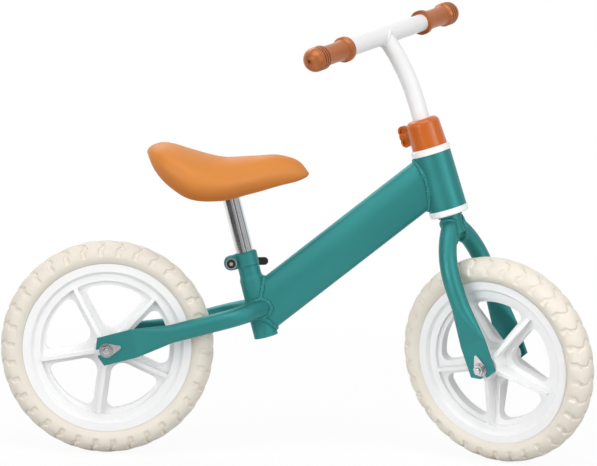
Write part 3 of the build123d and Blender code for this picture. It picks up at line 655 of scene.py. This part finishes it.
def reach_to(starts, way, axis_point, axis, radius=None, half_axes=None):
    """How far each start travels along a way before it meets a tube.

    The nearer root of the quadratic for the distance from the tube's axis; a miss stops at the nearest
    approach. An oval tube gives its two half axes, which scale the distance.
    """
    def flat(vector):
        """What lies across the tube's axis, counted in radii or in half axes."""
        across = vector - np.outer(vector @ axis, axis)
        if half_axes is None:
            return across / radius
        return np.stack([across @ h / (h @ h) for h in half_axes], axis=1)
    offset = flat(starts - axis_point)
    step = flat(way[None, :])[0]
    square = step @ step
    slope = offset @ step
    root = np.sqrt(np.maximum(slope**2 - square * (np.sum(offset**2, axis=1) - 1), 0))
    return (-slope - root) / square


def make_bead(name, path, radius, lap):
    """A weld bead: a ring carried round a closed path, fatter once for each lap of weld.

    Two slower sine waves make it uneven, as hand welding is.
    """
    ahead = np.roll(path, -1, axis=0) - np.roll(path, 1, axis=0)
    ahead /= np.linalg.norm(ahead, axis=1, keepdims=True)
    centre = path.mean(axis=0)
    outward = path - centre
    outward -= np.sum(outward * ahead, axis=1, keepdims=True) * ahead
    outward /= np.linalg.norm(outward, axis=1, keepdims=True)
    side = np.cross(ahead, outward)
    run = np.concatenate([[0], np.cumsum(np.linalg.norm(np.diff(path, axis=0), axis=1))])
    total = run[-1] + np.linalg.norm(path[0] - path[-1])
    laps = round(total / lap)
    lap_turn = TURN * run / total
    fat = 1 + LAP_SWELL * np.abs(np.sin(laps * lap_turn / 2))
    fat += SLOW_SWELL * np.sin(SLOW_WAVES * lap_turn + SLOW_START)
    fat += QUICK_SWELL * np.sin(QUICK_WAVES * lap_turn)
    turn = np.arange(BEAD_SIDES) * TURN / BEAD_SIDES
    ring = np.cos(turn)[None, :, None] * outward[:, None] + np.sin(turn)[None, :, None] * side[:, None]
    return surface(name, path[:, None] + radius * fat[:, None, None] * ring, around=True, along=True)


def resample(path, count):
    """A closed path with its points set evenly along it."""
    closed = np.concatenate([path, path[:1]])
    run = np.concatenate([[0], np.cumsum(np.linalg.norm(np.diff(closed, axis=0), axis=1))])
    at = np.linspace(0, run[-1], count, endpoint=False)
    return np.stack([np.interp(at, run, closed[:, k]) for k in range(3)], axis=1)


def weld(name, body, slot, starts, way, reach, radius=WELD_RADIUS):
    """A bead where lines that leave the starts along a way meet what they are welded to."""
    path = resample(starts + reach[:, None] * way, WELD_POINTS)
    dress(make_bead(name, path, radius, WELD_LAP), body, slot)


oval = (DOWN_HALF_WIDTH * LEFT, DOWN_HALF_HEIGHT * down_up)
starts = ring_of(down_end - DOWN_BACK * down_dir, *oval)
weld("head_weld", "frame", "frame_paint", starts, down_dir,
     reach_to(starts, down_dir, steer_foot, steer_up, HEAD_RADIUS))
weld("seat_tube_weld", "frame", "frame_paint", starts, -down_dir,
     reach_to(starts, -down_dir, SEAT_FOOT, seat_up, SEAT_RADIUS))
stay_dir = np.array((cos(STAY_RISE), 0.0, sin(STAY_RISE)))
for side, name in ((1, "left"), (-1, "right")):
    bend = rear_hub + side * PLATE_OFFSET * LEFT + STAY_RUN * stay_dir
    way = unit(STAY_REACH * stay_dir - side * PLATE_OFFSET * LEFT)
    lift = np.cross(way, LEFT)
    starts = ring_of(bend, STAY_RADIUS * unit(lift), STAY_RADIUS * unit(np.cross(way, lift)))
    to_seat = reach_to(starts, way, SEAT_FOOT, seat_up, SEAT_RADIUS)
    to_down = reach_to(starts, way, down_end, down_dir, half_axes=oval)
    ahead_of_seat = (starts + to_down[:, None] * way - SEAT_FOOT) @ np.cross(LEFT, seat_up) > 0
    reach = np.where(ahead_of_seat, np.minimum(to_seat, to_down), to_seat)
    weld(f"stay_weld_{name}", "frame", "frame_paint", starts, way, reach)
    bend = steer_foot + side * PLATE_OFFSET * steer_left + CROWN_CORNER * steer_up
    tip = steer_foot + side * CROWN_OFFSET * steer_left + CROWN_TOP * steer_up
    way = unit(tip - bend)
    starts = ring_of(bend, STAY_RADIUS * steer_ahead, STAY_RADIUS * unit(np.cross(way, steer_ahead)))
    weld(f"crown_weld_{name}", "fork", "frame_paint", starts, way,
         reach_to(starts, way, steer_foot, steer_up, STEERER_RADIUS))
bar_centre = steer_foot + BAR_UP * steer_up - BAR_SETBACK * steer_ahead
sweep = 2 * np.arctan2(BAR_SETBACK, BAR_RISE)
stem_way = cos(sweep) * steer_up - sin(sweep) * steer_ahead
starts = ring_of(bar_centre - STEM_BACK * stem_way, STEM_RADIUS * steer_left,
                 STEM_RADIUS * np.cross(stem_way, steer_left))
weld("bar_weld", "handlebar", "bar_paint", starts, stem_way,
     reach_to(starts, stem_way, bar_centre, steer_left, BAR_RADIUS), BAR_WELD_RADIUS)


# Floor, lights and camera

FLOOR_GREY = (0.60, 0.60, 0.60, 1.0)
FLOOR_GLOW = 1.06
FLOOR_GLOW_SHARE = 0.86
FLOOR_FADE_START = 0.9
FLOOR_FADE_END = 1.9
FLOOR_RINGS = np.array((0.001, 1.0, 2.0))
FLOOR_SIDES = 96
FLOOR_HEIGHT = -0.5 * MM
PURE_WHITE = (1.0, 1.0, 1.0, 1.0)
WORLD_LIT = 0.42
WORLD_SEEN = 1.0
CARD_STEPS = 25

# Name, place, what it points at, width and height, watts, and the degrees that it spreads over
LAMPS = (
    ("top_softbox", (-0.2, -1.5, 2.6), (0, 0, 0.3), (2.4, 1.8), 28, 180),
    ("back_softbox", (-0.9, 1.8, 2.4), (0, 0, 0.3), (2.0, 1.2), 22, 180),
    ("key_softbox", (2.2, -2.4, 1.2), (0.1, 0, 0.3), (1.6, 1.6), 38, 180),
    ("fill_softbox", (-2.6, -2.6, 0.9), (0, 0, 0.3), (1.6, 1.6), 41, 180),
    ("wheel_softbox", (-1.3, -2.4, 0.5), (0.28, 0, 0.15), (0.5, 0.5), 0.12, 13),
)
# Name, centre, radius, first and last angle in degrees from the bike's right towards its front,
# lowest and highest point, and grey
CARDS = (
    ("grey_card", (0, 0), 5.5, (-90, 40), (-2, 4), 0.34),
    ("pale_card", (0, 0), 5.5, (40, 112), (-2, 4), 0.52),
    ("dark_flag", (-0.1, 0), 0.5, (-86, -20), (0.1, 0.9), 0.09),
    ("pale_flag", (-0.1, 0), 0.5, (26, 66), (0.1, 0.9), 0.36),
    ("white_strip", (0, 0), 5.2, (5, 9), (-2, 4), 1.0),
    ("dark_strip", (0, 0), 5.2, (15, 26), (-2, 4), 0.05),
)


def make_floor():
    """A round white floor that fades out at its rim, bright to the camera and with a faint shadow.

    Rings of points about the origin, just below the ground.
    """
    finish = Finish("studio_floor")
    length = finish.node("ShaderNodeVectorMath", {"operation": "LENGTH"}, {0: finish.place}, output="Value")
    fade = finish.node("ShaderNodeMapRange", {"interpolation_type": "SMOOTHSTEP"},
                       {"Value": length, "From Min": FLOOR_FADE_START, "From Max": FLOOR_FADE_END})
    diffuse = finish.node("ShaderNodeBsdfDiffuse", {}, {"Color": FLOOR_GREY})
    glow = finish.node("ShaderNodeEmission", {}, {"Color": PURE_WHITE, "Strength": FLOOR_GLOW})
    clear = finish.node("ShaderNodeBsdfTransparent", {}, {})
    share = finish.looked_at() * FLOOR_GLOW_SHARE
    lit = finish.node("ShaderNodeMixShader", {}, {0: share, 1: diffuse, 2: glow})
    finish.replace_shader(finish.node("ShaderNodeMixShader", {}, {0: fade, 1: lit, 2: clear}))
    turn = np.arange(FLOOR_SIDES) * TURN / FLOOR_SIDES
    rings = FLOOR_RINGS[:, None]
    level = np.full((len(rings), FLOOR_SIDES), FLOOR_HEIGHT)
    points = np.stack([rings * np.cos(turn), rings * np.sin(turn), level], axis=-1)
    floor = surface("floor", points, around=True)
    floor.data.materials.append(finish.material)


def make_world():
    """White surroundings: a plain level on the object, and full white to the camera and in reflections."""
    world = bpy.data.worlds.new("studio")
    world.use_nodes = True
    bpy.context.scene.world = world
    nodes = Nodes(world.node_tree)
    strength = nodes.node("ShaderNodeMapRange", {}, {"Value": nodes.looked_at(), "To Min": WORLD_LIT,
                                                     "To Max": WORLD_SEEN})
    back = world.node_tree.nodes["Background"]
    nodes.plug(back.inputs["Color"], PURE_WHITE)
    nodes.plug(back.inputs["Strength"], strength)


def add_softbox(name, place, target, size, power, spread):
    """A soft area light turned towards a point."""
    data = bpy.data.lights.new(name, "AREA")
    data.shape = "RECTANGLE"
    data.size, data.size_y = size
    data.energy = power
    data.spread = radians(spread)
    lamp = bpy.data.objects.new(name, data)
    lamp.location = place
    lamp.rotation_euler = (Vector(target) - Vector(place)).to_track_quat("-Z", "Y").to_euler()
    bpy.context.scene.collection.objects.link(lamp)


def add_card(name, centre, radius, azimuths, heights, grey):
    """A curved card round the bike that only reflections see, for the bands in the plated post.

    An arc of a circle at the lower and at the upper height.
    """
    finish = Finish(name)
    glow = finish.node("ShaderNodeEmission", {}, {"Color": (grey, grey, grey, 1), "Strength": 1.0})
    finish.replace_shader(glow)
    turn = np.radians(np.linspace(*azimuths, CARD_STEPS))
    arc_x = centre[0] + radius * np.sin(turn)
    arc_y = centre[1] - radius * np.cos(turn)
    rows = [np.stack([arc_x, arc_y, np.full(CARD_STEPS, height)], axis=1) for height in heights]
    card = surface(name, np.array(rows))
    card.data.materials.append(finish.material)
    card.visible_camera = False
    card.visible_diffuse = False
    card.visible_shadow = False


def add_camera():
    """The photograph's camera: turned about the target, rolled, and set back."""
    back = Vector((sin(VIEW_AZIMUTH) * cos(VIEW_ELEVATION), -cos(VIEW_AZIMUTH) * cos(VIEW_ELEVATION),
                   sin(VIEW_ELEVATION)))
    right = Vector((cos(VIEW_AZIMUTH), sin(VIEW_AZIMUTH), 0))
    up = back.cross(right)
    rolled_right = right * cos(VIEW_ROLL) + up * sin(VIEW_ROLL)
    rolled_up = up * cos(VIEW_ROLL) - right * sin(VIEW_ROLL)
    data = bpy.data.cameras.new("photo_camera")
    data.sensor_fit = "HORIZONTAL"
    data.sensor_width = SENSOR
    data.lens = SENSOR * FOCAL_PIXELS / IMAGE_WIDTH
    camera = bpy.data.objects.new("photo_camera", data)
    facing = Matrix((rolled_right, rolled_up, back)).transposed().to_4x4()
    camera.matrix_world = Matrix.Translation(VIEW_TARGET + back * VIEW_DISTANCE) @ facing
    bpy.context.scene.collection.objects.link(camera)
    bpy.context.scene.camera = camera


make_floor()
make_world()
for lamp in LAMPS:
    add_softbox(*lamp)
for card in CARDS:
    add_card(*card)
add_camera()
bpy.context.scene.view_settings.view_transform = "Standard"
